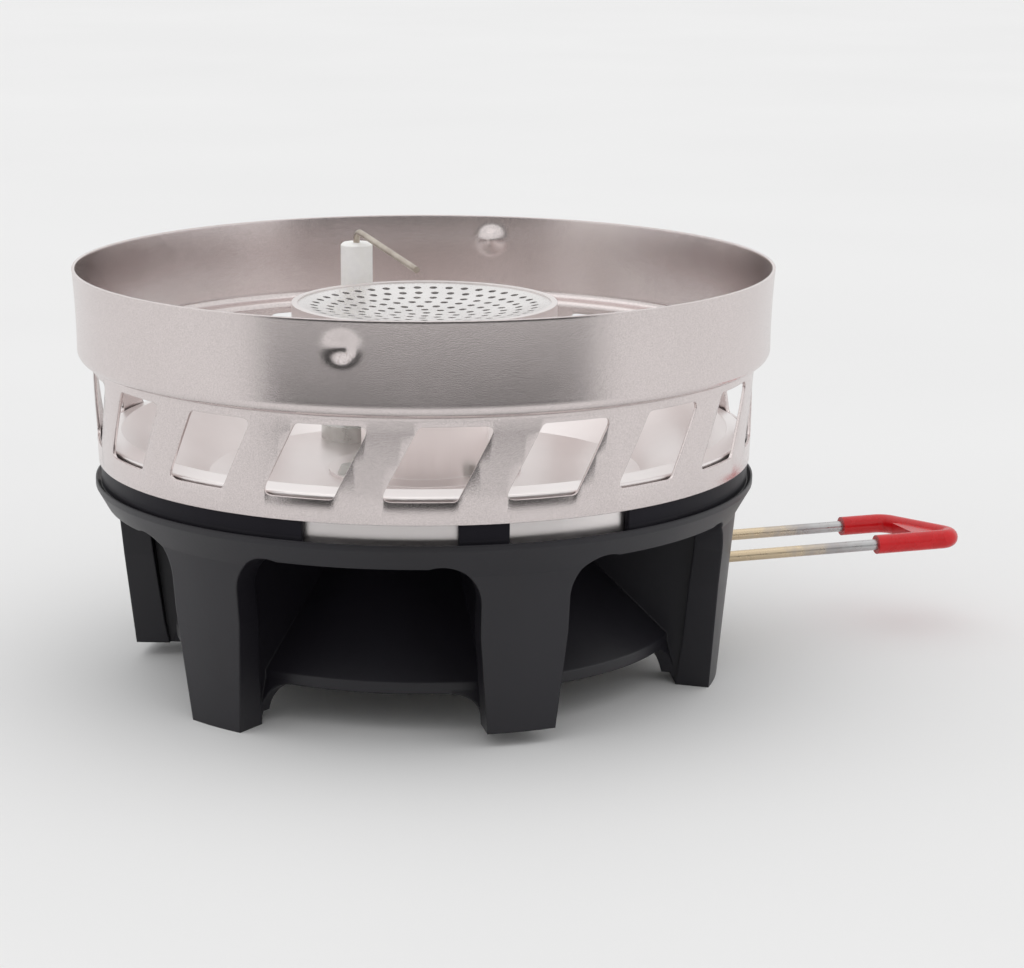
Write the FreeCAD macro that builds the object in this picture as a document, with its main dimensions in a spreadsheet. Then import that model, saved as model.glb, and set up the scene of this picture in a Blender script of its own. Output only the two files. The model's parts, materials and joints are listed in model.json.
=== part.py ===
"""Canister stove burner: steel wind ring, pan and burner head on a six-legged plastic housing.

Millimetres, +Z up. The origin is on the burner's axis, in the plane of the canister thread's mouth.
+X is the direction of the folding wire valve handle.
"""

import FreeCAD, Part
import math
import os
import Sketcher

V = FreeCAD.Vector

# Driving dimensions. Heights end in _z and are measured from the thread's mouth.
SIZES = {
    # wind ring
    "rim_radius": 57.5,
    "rim_z": 63.2,
    "collar_radius": 56.9,
    "collar_z": 48.8,
    "shoulder_z": 48.2,
    "skirt_top_radius": 54.5,
    "skirt_radius": 53.8,
    "skirt_z": 31.6,
    "steel": 0.5,
    "window_top_z": 46.8,
    "window_bottom_z": 35.2,
    "window_half": 5.85,
    "window_lean": 3.0,
    "window_corner": 1.2,
    "dimple_z": 58.9,
    "dimple_radius": 2.9,
    "dimple_depth": 1.3,
    # pan
    "pan_hole": 5.2,
    "pan_floor_z": 28.0,
    "pan_flat_radius": 36.0,
    "pan_rim_radius": 50.0,
    "pan_rim_z": 36.4,
    "pan_edge_radius": 52.9,
    "pan_edge_z": 35.7,
    "pan_bead": 1.1,
    "pan_wall_radius": 52.3,
    "pan_wall_z": 27.1,
    # housing
    "housing_radius": 54.4,
    "housing_top_z": 28.6,
    "flange_z": 27.6,
    "chamfer_radius": 51.8,
    "chamfer_z": 23.0,
    "foot_radius": 49.1,
    "foot_inner": 43.3,
    "foot_z": -5.0,
    "short_foot_z": -2.7,
    "skin_inner": 47.3,
    "slot_radius": 44.4,
    "slot_z": 1.2,
    "plate_z": 25.0,
    "plate_top_z": 27.0,
    "seat_radius": 53.2,
    "arch_z": 24.5,
    "arch_angle": 44.0,
    "arch_corner": 6.0,
    "arch_corner_reach": 50.0,
    "arch_start": 42.5,
    "arch_end": 57.4,
    "rib_angle": 10.4,
    "web_corner": 5.0,
    "web_angle": 13.6,
    "web_reach": 42.0,
    "cone_top_radius": 17.8,
    "cone_radius": 41.7,
    "cone_z": 3.5,
    "cone_wall": 2.7,
    "lip_z": 1.8,
    "leg_taper_z": 13.0,
    "neck_hole": 5.1,
    "narrow_lug": 8.4,
    "wide_lug": 63.9,
    "lug_gap": 0.35,
    "air_reach": 8.3,
    "air_radius": 1.3,
    # burner head
    "disc_radius": 21.4,
    "disc_z": 55.7,
    "disc_thick": 0.8,
    "disc_margin": 1.2,
    "dish_centre": 2.2,
    "dish_inner_radius": 7.0,
    "dish_inner": 1.95,
    "dish_outer_radius": 14.0,
    "dish_outer": 1.15,
    "port_radius": 0.65,
    "port_pitch": 2.6,
    "cup_radius": 21.9,
    "cup_lip": 0.25,
    "cup_wall": 0.5,
    "cup_floor_z": 46.0,
    "tube_radius": 10.6,
    "tube_bore": 10.0,
    "tube_flange": 16.0,
    "tube_top_z": 47.0,
    "screw_reach": 13.2,
    "screw_hole": 1.55,
    "screw_radius": 1.5,
    "screw_depth": 3.9,
    # valve
    "body_radius": 9.5,
    "body_z": 4.0,
    "body_top_z": 17.0,
    "collar_step": 1.6,
    "boss_radius": 5.5,
    "boss_start": 7.2,
    "tunnel_start": 9.8,
    "boss_end": 18.0,
    "gas_way_reach": 1.6,
    "gas_way_radius": 0.8,
    "gas_inlet_reach": 4.6,
    "seat_start": 3.6,
    "orifice_radius": 0.5,
    "jet_thread": 2.5,
    "jet_head": 3.4,
    "jet_hole": 0.2,
    "filter_radius": 3.4,
    "filter_hole": 0.9,
    "gland_half": 5.4,
    "gland_long": 4.0,
    "neck_radius": 5.0,
    "nut_half": 6.8,
    "neck_top_z": 32.0,
    "spindle_z": 11.0,
    "spindle_radius": 2.2,
    "spindle_bore": 2.25,
    "spindle_start": 12.0,
    "spindle_end": 47.0,
    "needle_bore": 7.0,
    "hub_radius": 3.4,
    "hub_start": 40.5,
    "cross_hole": 1.0,
    "pivot_reach": 44.0,
    "needle_radius": 0.9,
    "needle_start": 2.9,
    "needle_tip": 1.6,
    "needle_long": 12.7,
    "thread_radius": 5.1,
    "thread_z": 6.0,
    "connector_radius": 8.5,
    "socket_radius": 6.9,
    "socket_z": 9.5,
    # handle
    "wire_radius": 0.95,
    "loop_half": 7.2,
    "loop_tip": 96.0,
    "loop_shoulder": 88.3,
    "loop_inner": 1.9,
    "grip_start": 80.0,
    "grip_radius": 1.65,
    "web_thick": 2.0,
    # igniter
    "igniter_z": 19.5,
    "igniter_radius": 4.0,
    "igniter_start": 30.5,
    "igniter_end": 47.0,
    "button_bore": 3.0,
    "button_radius": 2.9,
    "button_cap": 3.8,
    "case_floor": 2.5,
    "stem_inside": 3.5,
    "cap_start": 4.2,
    "cap_end": 8.0,
    "cap_edge": 0.8,
    "coil_radius": 2.3,
    "coil_wire": 0.3,
    "coil_pitch": 2.0,
    "coil_long": 9.7,
    "saddle_half": 5.5,
    "saddle_long": 8.0,
    "ceramic_radius": 2.75,
    "ceramic_reach": 29.3,
    "ceramic_top_z": 62.6,
    "ceramic_bottom_z": 21.5,
    "well_z": 16.2,
    "spark_radius": 0.55,
    "spark_peak_z": 64.7,
    "spark_tip_reach": 3.3,
    "spark_tip_z": 61.5,
    "spark_bend": 1.6,
    "lead_radius": 0.8,
}

ARCHES = 6
WINDOWS = 18
LUGS = 3
SCREWS = 3
AIR_HOLES = 6
PORT_RINGS = 7
PORT_TWIST = 6.0
WINDOW_PHASE = 4.5
DIMPLE_ANGLES = (-120.0, 60.0)
NARROW_LUG_ANGLE = 22.0
WIDE_LUG_ANGLE = -39.9
LEG_TAPER = 4.8
IGNITER_ANGLE = 120.0
CERAMIC_ANGLE = 96.0
PIVOT_BEND = 2.0
NEAR_BEND = 1.9
FAR_BEND = 3.0
LEAD_BENDS = (1.6, 1.9, 2.0)
FINE = 0.001

doc = FreeCAD.newDocument("canister_burner")
sheet = doc.addObject("Spreadsheet::Sheet", "Sizes")
for line, (alias, number) in enumerate(SIZES.items(), start=1):
    sheet.set(f"A{line}", alias)
    sheet.set(f"B{line}", str(number))
    sheet.setAlias(f"B{line}", alias)
doc.recompute()

parts = []


def size(text):
    """Number for a sum of sheet names and plain numbers, such as 'rim_radius - steel'."""
    total = 0.0
    sign = 1.0
    for word in text.split():
        if word in "+-":
            sign = 1.0 if word == "+" else -1.0
        else:
            total += sign * (float(sheet.get(word)) if word in SIZES else float(word))
    return total


def bound(text):
    """The same sum as a FreeCAD expression."""
    return " ".join(f"Sizes.{word}" if word in SIZES else word for word in text.split())


def bind(thing, **sizes):
    """Set each property from the sheet, and keep it bound to the sheet."""
    for name, text in sizes.items():
        thing.setExpression(name, bound(text))
    return thing


def part(kind, label):
    thing = doc.addObject(kind, label)
    thing.Label = label
    parts.append(thing)
    return thing


def helper(kind, name):
    return doc.addObject(kind, name)


def turned(angle, offset=V(0, 0, 0)):
    return FreeCAD.Placement(offset, FreeCAD.Rotation(V(0, 0, 1), angle))


def origin_item(body, role):
    return next(item for item in body.Origin.OriginFeatures if item.Role == role)


def new_sketch(body, role, name, turn=0.0):
    """Sketch on an origin plane; turn swings an upright plane about Z."""
    sketch = body.newObject("Sketcher::SketchObject", name)
    sketch.AttachmentSupport = [(origin_item(body, role), "")]
    sketch.MapMode = "FlatFace"
    if turn:
        sketch.AttachmentOffset = FreeCAD.Placement(V(0, 0, 0), FreeCAD.Rotation(V(0, 1, 0), turn))
    return sketch


def fix_point(sketch, geometry, across, up):
    """Tie the start point of one line to the sheet."""
    for kind, text in (("DistanceX", across), ("DistanceY", up)):
        index = sketch.addConstraint(Sketcher.Constraint(kind, -1, 1, geometry, 1, size(text)))
        sketch.setExpression(f"Constraints[{index}]", bound(text))


def outline(body, role, name, points, turn=0.0):
    """Closed polygon whose corners are sums of sheet sizes."""
    sketch = new_sketch(body, role, name, turn)
    corners = [V(size(across), size(up), 0) for across, up in points]
    for index, corner in enumerate(corners):
        sketch.addGeometry(Part.LineSegment(corner, corners[(index + 1) % len(corners)]), False)
    for index in range(len(corners)):
        following = (index + 1) % len(corners)
        sketch.addConstraint(Sketcher.Constraint("Coincident", index, 2, following, 1))
    for index, (across, up) in enumerate(points):
        fix_point(sketch, index, across, up)
    return sketch


def circle_sketch(body, role, name, across, up, radius, turn=0.0):
    sketch = new_sketch(body, role, name, turn)
    centre = V(size(across), size(up), 0)
    sketch.addGeometry(Part.Circle(centre, V(0, 0, 1), size(radius)), False)
    for kind, text in (("DistanceX", across), ("DistanceY", up)):
        index = sketch.addConstraint(Sketcher.Constraint(kind, -1, 1, 0, 3, size(text)))
        sketch.setExpression(f"Constraints[{index}]", bound(text))
    index = sketch.addConstraint(Sketcher.Constraint("Radius", 0, size(radius)))
    sketch.setExpression(f"Constraints[{index}]", bound(radius))
    return sketch


def spin(body, kind, name, points, angle="360", turn=0.0):
    """Revolution or Groove about Z of an outline in an upright plane, to both sides of that plane."""
    sketch = outline(body, "XZ_Plane", name + "_outline", points, turn)
    feature = body.newObject(f"PartDesign::{kind}", name)
    feature.Profile = sketch
    feature.ReferenceAxis = (sketch, ["V_Axis"])
    bind(feature, Angle=angle)
    feature.Midplane = True
    body.Tip = feature
    return feature


def turned_body(label, points):
    """A piece made by turning one outline about Z."""
    body = part("PartDesign::Body", label)
    spin(body, "Revolution", label + "_turning", points)
    return body


def around(body, feature, count, name):
    pattern = body.newObject("PartDesign::PolarPattern", name)
    pattern.Originals = [feature]
    pattern.Axis = (origin_item(body, "Z_Axis"), [""])
    pattern.Angle = 360
    pattern.Occurrences = count
    body.Tip = pattern
    return pattern


def cut(body, sketch, name, length, reverse=False, both=False):
    """Pocket that must take material away."""
    doc.recompute()
    before = body.Shape.Volume
    pocket = body.newObject("PartDesign::Pocket", name)
    pocket.Profile = sketch
    bind(pocket, Length=length)
    pocket.Reversed = reverse
    pocket.Midplane = both
    body.Tip = pocket
    doc.recompute()
    if not body.Shape.Volume < before - FINE:
        raise RuntimeError(f"{name} cuts nothing")
    return pocket


def rounded(body, name, radius, wanted):
    """Fillet every edge of the body for which wanted(edge) is true."""
    doc.recompute()
    base = body.Tip
    names = [f"Edge{i}" for i, edge in enumerate(base.Shape.Edges, start=1) if wanted(edge)]
    if not names:
        raise RuntimeError(f"{name} finds no edge")
    fillet = body.newObject("PartDesign::Fillet", name)
    fillet.Base = (base, names)
    bind(fillet, Radius=radius)
    body.Tip = fillet
    return fillet


def radial_cone(body, reach, radius, height, angle, span):
    """Cut a cone that points at the axis, so that it is tangent to upright planes through the axis.

    The cone has this radius at this reach, and span gives the two reaches it runs between.
    """
    slope = size(radius) / size(reach)
    start, end = (size(text) for text in span)
    cone = body.newObject("PartDesign::SubtractiveCone", "scoop")
    cone.Radius1 = slope * start
    cone.Radius2 = slope * end
    cone.Height = end - start
    outward = FreeCAD.Rotation(V(0, 0, 1), angle).multVec(V(1, 0, 0))
    cone.Placement = FreeCAD.Placement(
        outward * start + V(0, 0, size(height)), FreeCAD.Rotation(V(0, 0, 1), outward)
    )
    body.Tip = cone
    return cone


def leg_taper(body, middle, side):
    """Cut one flank of the leg at this angle, so that the leg narrows towards its foot."""
    box = body.newObject("PartDesign::SubtractiveBox", "leg_flank")
    bind(box, Length="arch_end - foot_inner + 0.1", Width="4.0", Height="leg_taper_z - foot_z + 1.0")
    flank = middle + side * (180.0 / ARCHES - size("arch_angle") / 2)
    outward = FreeCAD.Rotation(V(0, 0, 1), flank)
    turn = outward.multiply(FreeCAD.Rotation(V(1, 0, 0), -side * LEG_TAPER))
    corner = V(0, -4.0 if side < 0 else 0.0, -size("leg_taper_z - foot_z + 1.0"))
    start = outward.multVec(V(size("foot_inner - 0.1"), 0, 0)) + V(0, 0, size("leg_taper_z"))
    box.Placement = FreeCAD.Placement(start + turn.multVec(corner), turn)
    body.Tip = box
    return box


def is_ring(edge, radius, height):
    """True for a level circle of this radius at this height."""
    if not isinstance(edge.Curve, Part.Circle):
        return False
    same = abs(edge.Curve.Radius - radius) < 0.02
    return same and abs(edge.Curve.Center.z - height) < 0.02


def make_wind_ring():
    """Pressed collar and skirt with leaning air windows and two locking dimples."""
    body = part("PartDesign::Body", "wind_ring")
    spin(
        body,
        "Revolution",
        "ring_wall",
        [
            ("rim_radius", "rim_z"),
            ("collar_radius", "collar_z"),
            ("skirt_top_radius", "shoulder_z"),
            ("skirt_radius", "skirt_z"),
            ("skirt_radius - steel", "skirt_z"),
            ("skirt_top_radius - steel", "shoulder_z + steel"),
            ("collar_radius - steel", "collar_z + steel"),
            ("rim_radius - steel", "rim_z"),
        ],
    )
    rounded(body, "outer_curl", "1.8", lambda e: is_ring(e, size("collar_radius"), size("collar_z")))
    rounded(
        body,
        "inner_curl",
        "1.3",
        lambda e: is_ring(e, size("collar_radius - steel"), size("collar_z + steel")),
    )
    window = outline(
        body,
        "XZ_Plane",
        "window_outline",
        [
            ("0 - window_half + window_lean", "window_top_z"),
            ("window_half + window_lean", "window_top_z"),
            ("window_half - window_lean", "window_bottom_z"),
            ("0 - window_half - window_lean", "window_bottom_z"),
        ],
    )
    pocket = cut(body, window, "window", "rim_radius + 10", reverse=True)
    around(body, pocket, WINDOWS, "windows")

    def is_corner(edge):
        straight = isinstance(edge.Curve, Part.Line)
        low = size("window_bottom_z") - 1 < edge.CenterOfMass.z < size("window_top_z") + 1
        return straight and low and edge.Length < 2 * size("steel")

    rounded(body, "window_corners", "window_corner", is_corner)
    body.Placement = turned(WINDOW_PHASE)
    return body


def make_dimples():
    """Two cups pressed inward through the collar, which lock the pot."""
    ring = parts[-1]
    ring.Label = "pressed_ring"
    parts.remove(ring)
    shape = ring
    for index, angle in enumerate(DIMPLE_ANGLES):
        inward = FreeCAD.Rotation(V(0, 0, 1), angle).multVec(V(-1, 0, 0))
        place = FreeCAD.Placement(
            inward * -size("rim_radius - 0.35") + V(0, 0, size("dimple_z")),
            FreeCAD.Rotation(V(0, 0, 1), inward),
        )
        boss = bind(
            helper("Part::Cone", f"dimple_boss_{index}"),
            Radius1="dimple_radius + steel",
            Radius2="dimple_radius - 1.0",
            Height="dimple_depth + steel",
        )
        boss.Placement = place
        hollow = bind(
            helper("Part::Cone", f"dimple_hollow_{index}"),
            Radius1="dimple_radius + 0.3",
            Radius2="dimple_radius - 1.5",
            Height="dimple_depth + steel",
        )
        hollow.Placement = FreeCAD.Placement(place.Base - inward * size("steel"), place.Rotation)
        joined = helper("Part::Fuse", f"dimple_joined_{index}")
        joined.Base = shape
        joined.Tool = boss
        shape = helper("Part::Cut", f"dimple_cut_{index}")
        shape.Base = joined
        shape.Tool = hollow
    shape.Label = "wind_ring"
    parts.append(shape)


def make_burner_pan():
    """Polished tray: floor, rising side, rolled rim and an outer wall that stands on the housing."""
    body = part("PartDesign::Body", "burner_pan")
    spin(
        body,
        "Revolution",
        "pan_wall",
        [
            ("pan_hole", "pan_floor_z"),
            ("pan_flat_radius", "pan_floor_z"),
            ("pan_rim_radius + 0.2", "pan_rim_z - steel"),
            ("pan_wall_radius - steel", "pan_edge_z - steel"),
            ("pan_wall_radius - steel", "pan_wall_z"),
            ("pan_wall_radius", "pan_wall_z"),
            ("pan_wall_radius", "pan_edge_z - pan_bead"),
            ("pan_edge_radius", "pan_edge_z - pan_bead"),
            ("pan_edge_radius", "pan_edge_z"),
            ("pan_rim_radius", "pan_rim_z"),
            ("pan_flat_radius - 0.2", "pan_floor_z + steel"),
            ("pan_hole", "pan_floor_z + steel"),
        ],
    )
    rounded(
        body,
        "pan_bead",
        "0.45",
        lambda e: is_ring(e, size("pan_edge_radius"), size("pan_edge_z"))
        or is_ring(e, size("pan_edge_radius"), size("pan_edge_z - pan_bead")),
    )
    hole = circle_sketch(body, "XY_Plane", "ceramic_hole", "ceramic_reach", "0", "ceramic_radius + 0.2")
    cut(body, hole, "ceramic_opening", "rim_z", reverse=True)
    screw = circle_sketch(body, "XY_Plane", "screw_hole", "0", "screw_reach", "screw_hole")
    around(body, cut(body, screw, "screw_opening", "rim_z", reverse=True), SCREWS, "screw_openings")
    air = circle_sketch(body, "XY_Plane", "air_hole", "air_reach", "0", "air_radius")
    around(body, cut(body, air, "air_opening", "rim_z", reverse=True), AIR_HOLES, "air_openings")
    body.Placement = turned(CERAMIC_ANGLE)
    return body


def make_housing():
    """One black moulding: outer skin with six legs, inner cone over the canister, ribs and plate."""
    body = part("PartDesign::Body", "housing")
    spin(
        body,
        "Revolution",
        "housing_wall",
        [
            ("housing_radius", "housing_top_z"),
            ("housing_radius", "flange_z"),
            ("chamfer_radius", "chamfer_z"),
            ("foot_radius", "foot_z"),
            ("foot_inner", "foot_z"),
            ("slot_radius", "slot_z"),
            ("skin_inner", "plate_z"),
            ("cone_top_radius", "plate_z"),
            ("cone_radius", "cone_z"),
            ("cone_radius", "lip_z"),
            ("cone_radius - 2.2", "lip_z"),
            ("cone_top_radius - cone_wall", "plate_z - 0.6"),
            ("neck_hole", "plate_z - 0.6"),
            ("neck_hole", "plate_top_z"),
            ("seat_radius", "plate_top_z"),
            ("seat_radius", "plate_top_z + 0.6"),
            ("housing_radius - 0.25", "housing_top_z"),
        ],
    )
    corner_angle = math.degrees(math.atan2(size("arch_corner"), size("arch_corner_reach")))
    for name, top, narrowing in (
        ("arch_side", "arch_z - arch_corner", 0.0),
        ("arch_top", "arch_z", 2 * corner_angle),
    ):
        arch = spin(
            body,
            "Groove",
            name,
            [
                ("arch_start", "foot_z - 1"),
                ("arch_end", "foot_z - 1"),
                ("arch_end", top),
                ("arch_start", top),
            ],
            angle=f"arch_angle - {narrowing}",
        )
        around(body, arch, ARCHES, f"{name}s")
    for side in (-1, 1):
        angle = side * (size("arch_angle") / 2 - corner_angle)
        height = "arch_z - arch_corner"
        span = ("arch_start", "arch_end")
        scoop = radial_cone(body, "arch_corner_reach", "arch_corner", height, angle, span)
        around(body, scoop, ARCHES, f"arch_corners_{side + 1}")
    half_pitch = 180.0 / ARCHES
    for side in (-1, 1):
        taper_box = leg_taper(body, half_pitch, side)
        around(body, taper_box, ARCHES, f"leg_tapers_{side + 1}")
    rib = spin(
        body,
        "Revolution",
        "leg_rib",
        [
            ("cone_top_radius - 1.0", "plate_z + 0.5"),
            ("skin_inner + 1.0", "plate_z + 0.5"),
            ("foot_inner + 1.0", "foot_z"),
            ("foot_inner", "foot_z"),
            ("cone_radius - 2.2", "lip_z"),
            ("cone_radius - 1.0", "cone_z"),
        ],
        angle="rib_angle",
        turn=half_pitch,
    )
    around(body, rib, ARCHES, "leg_ribs")
    web = spin(
        body,
        "Revolution",
        "foot_web",
        [
            ("cone_radius - 2.2", "lip_z + 0.5"),
            ("cone_radius", "lip_z + 0.5"),
            ("foot_inner - 0.1", "lip_z - web_corner"),
            ("foot_inner - 2.4", "lip_z - web_corner"),
        ],
        angle="rib_angle + web_angle",
        turn=half_pitch,
    )
    around(body, web, ARCHES, "foot_webs")
    for side in (-1, 1):
        angle = half_pitch + side * (size("rib_angle") + size("web_angle")) / 2
        height = "lip_z - web_corner"
        span = ("cone_radius - 4.0", "foot_inner - 0.05")
        scoop = radial_cone(body, "web_reach", "web_corner", height, angle, span)
        around(body, scoop, ARCHES, f"web_corners_{side + 1}")
    short = spin(
        body,
        "Groove",
        "short_foot",
        [
            ("foot_inner - 4.0", "foot_z - 1"),
            ("housing_radius", "foot_z - 1"),
            ("housing_radius", "short_foot_z"),
            ("foot_inner - 4.0", "short_foot_z"),
        ],
        angle="20",
        turn=half_pitch,
    )
    around(body, short, ARCHES // 2, "short_feet")
    for name, middle, wide in (
        ("narrow", NARROW_LUG_ANGLE, "narrow_lug"),
        ("wide", WIDE_LUG_ANGLE, "wide_lug"),
    ):
        lug = spin(
            body,
            "Revolution",
            f"{name}_lug",
            [
                ("pan_wall_radius + 0.15", "plate_top_z - 0.5"),
                ("skirt_radius - lug_gap", "plate_top_z - 0.5"),
                ("skirt_radius - lug_gap", "skirt_z"),
                ("pan_wall_radius + 0.15", "skirt_z"),
            ],
            angle=wide,
            turn=middle,
        )
        around(body, lug, LUGS, f"{name}_lugs")
    hole = circle_sketch(body, "YZ_Plane", "spindle_hole_outline", "0", "spindle_z", "hub_radius + 0.8")
    cut(body, hole, "spindle_hole", "slot_radius - 4.0", reverse=True)
    well = circle_sketch(body, "XY_Plane", "ceramic_well", "ceramic_reach", "0", "ceramic_radius + 0.3")
    well.AttachmentOffset = FreeCAD.Placement(
        V(0, 0, size("well_z")), FreeCAD.Rotation(V(0, 0, 1), CERAMIC_ANGLE)
    )
    cut(body, well, "ceramic_opening", "rim_z", reverse=True)
    air = circle_sketch(body, "XY_Plane", "air_hole", "air_reach", "0", "air_radius")
    air.AttachmentOffset = turned(CERAMIC_ANGLE, V(0, 0, size("body_top_z")))
    around(body, cut(body, air, "air_opening", "plate_z", reverse=True), AIR_HOLES, "air_openings")
    return body


def make_burner_head():
    """Dished perforated disc in a crimped cup on a mixing tube."""
    dish = [
        ("0", "disc_z - dish_centre"),
        ("dish_inner_radius", "disc_z - dish_inner"),
        ("dish_outer_radius", "disc_z - dish_outer"),
        ("disc_radius - disc_margin", "disc_z"),
        ("disc_radius", "disc_z"),
    ]
    upper = [(across, up + " + disc_thick") for across, up in reversed(dish)]
    disc = turned_body("burner_disc", dish + upper)
    centre = circle_sketch(disc, "XY_Plane", "centre_port", "0", "0", "port_radius")
    cut(disc, centre, "centre_port_opening", "rim_z", reverse=True)
    for ring in range(1, PORT_RINGS + 1):
        reach = " + ".join(["port_pitch"] * ring)
        port = circle_sketch(disc, "XY_Plane", f"port_{ring}", reach, "0", "port_radius")
        port.AttachmentOffset = turned(PORT_TWIST * ring)
        pocket = cut(disc, port, f"port_opening_{ring}", "rim_z", reverse=True)
        around(disc, pocket, 6 * ring, f"ports_{ring}")

    turned_body(
        "burner_cup",
        [
            ("tube_radius", "cup_floor_z - 4.0"),
            ("tube_radius + cup_wall", "cup_floor_z - 4.0"),
            ("tube_radius + cup_wall", "cup_floor_z"),
            ("cup_radius", "disc_z - 2.0"),
            ("cup_radius", "disc_z + disc_thick + cup_lip"),
            ("disc_radius - 0.5", "disc_z + disc_thick + cup_lip"),
            ("disc_radius - 0.5", "disc_z + disc_thick"),
            ("disc_radius", "disc_z + disc_thick"),
            ("disc_radius", "disc_z"),
            ("disc_radius - 0.8", "disc_z"),
            ("disc_radius - 0.8", "disc_z - 2.0"),
            ("tube_radius", "cup_floor_z + 0.3"),
        ],
    )
    tube = turned_body(
        "mixing_tube",
        [
            ("tube_bore", "pan_floor_z + steel"),
            ("tube_flange", "pan_floor_z + steel"),
            ("tube_flange", "pan_floor_z + steel + cup_wall"),
            ("tube_radius", "pan_floor_z + steel + cup_wall"),
            ("tube_radius", "tube_top_z"),
            ("tube_bore", "tube_top_z"),
        ],
    )
    screw = circle_sketch(tube, "XY_Plane", "flange_hole", "0", "screw_reach", "screw_hole")
    around(tube, cut(tube, screw, "flange_opening", "pan_rim_z", reverse=True), SCREWS, "flange_holes")
    tube.Placement = turned(CERAMIC_ANGLE)

def make_pan_screws():
    """Three self-tapping screws that hold the mixing tube and the pan to the housing."""
    screws = []
    for index in range(SCREWS):
        shank = bind(helper("Part::Cylinder", f"screw_shank_{index}"), Radius="screw_radius", Height="4.0")
        head = bind(
            helper("Part::Cone", f"screw_head_{index}"),
            Radius1="screw_radius + 0.8",
            Radius2="screw_radius + 0.2",
            Height="1.4",
        )
        toward = FreeCAD.Rotation(V(0, 0, 1), CERAMIC_ANGLE + 90 + index * 360 / SCREWS)
        spot = toward.multVec(V(size("screw_reach"), 0, 0))
        head.Placement.Base = spot + V(0, 0, size("pan_floor_z + steel + cup_wall"))
        shank.Placement.Base = head.Placement.Base - V(0, 0, size("screw_depth"))
        screw = helper("Part::Fuse", f"screw_{index}")
        screw.Base = head
        screw.Tool = shank
        screws.append(screw)
    group = part("Part::Compound", "pan_screws")
    group.Links = screws


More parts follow.
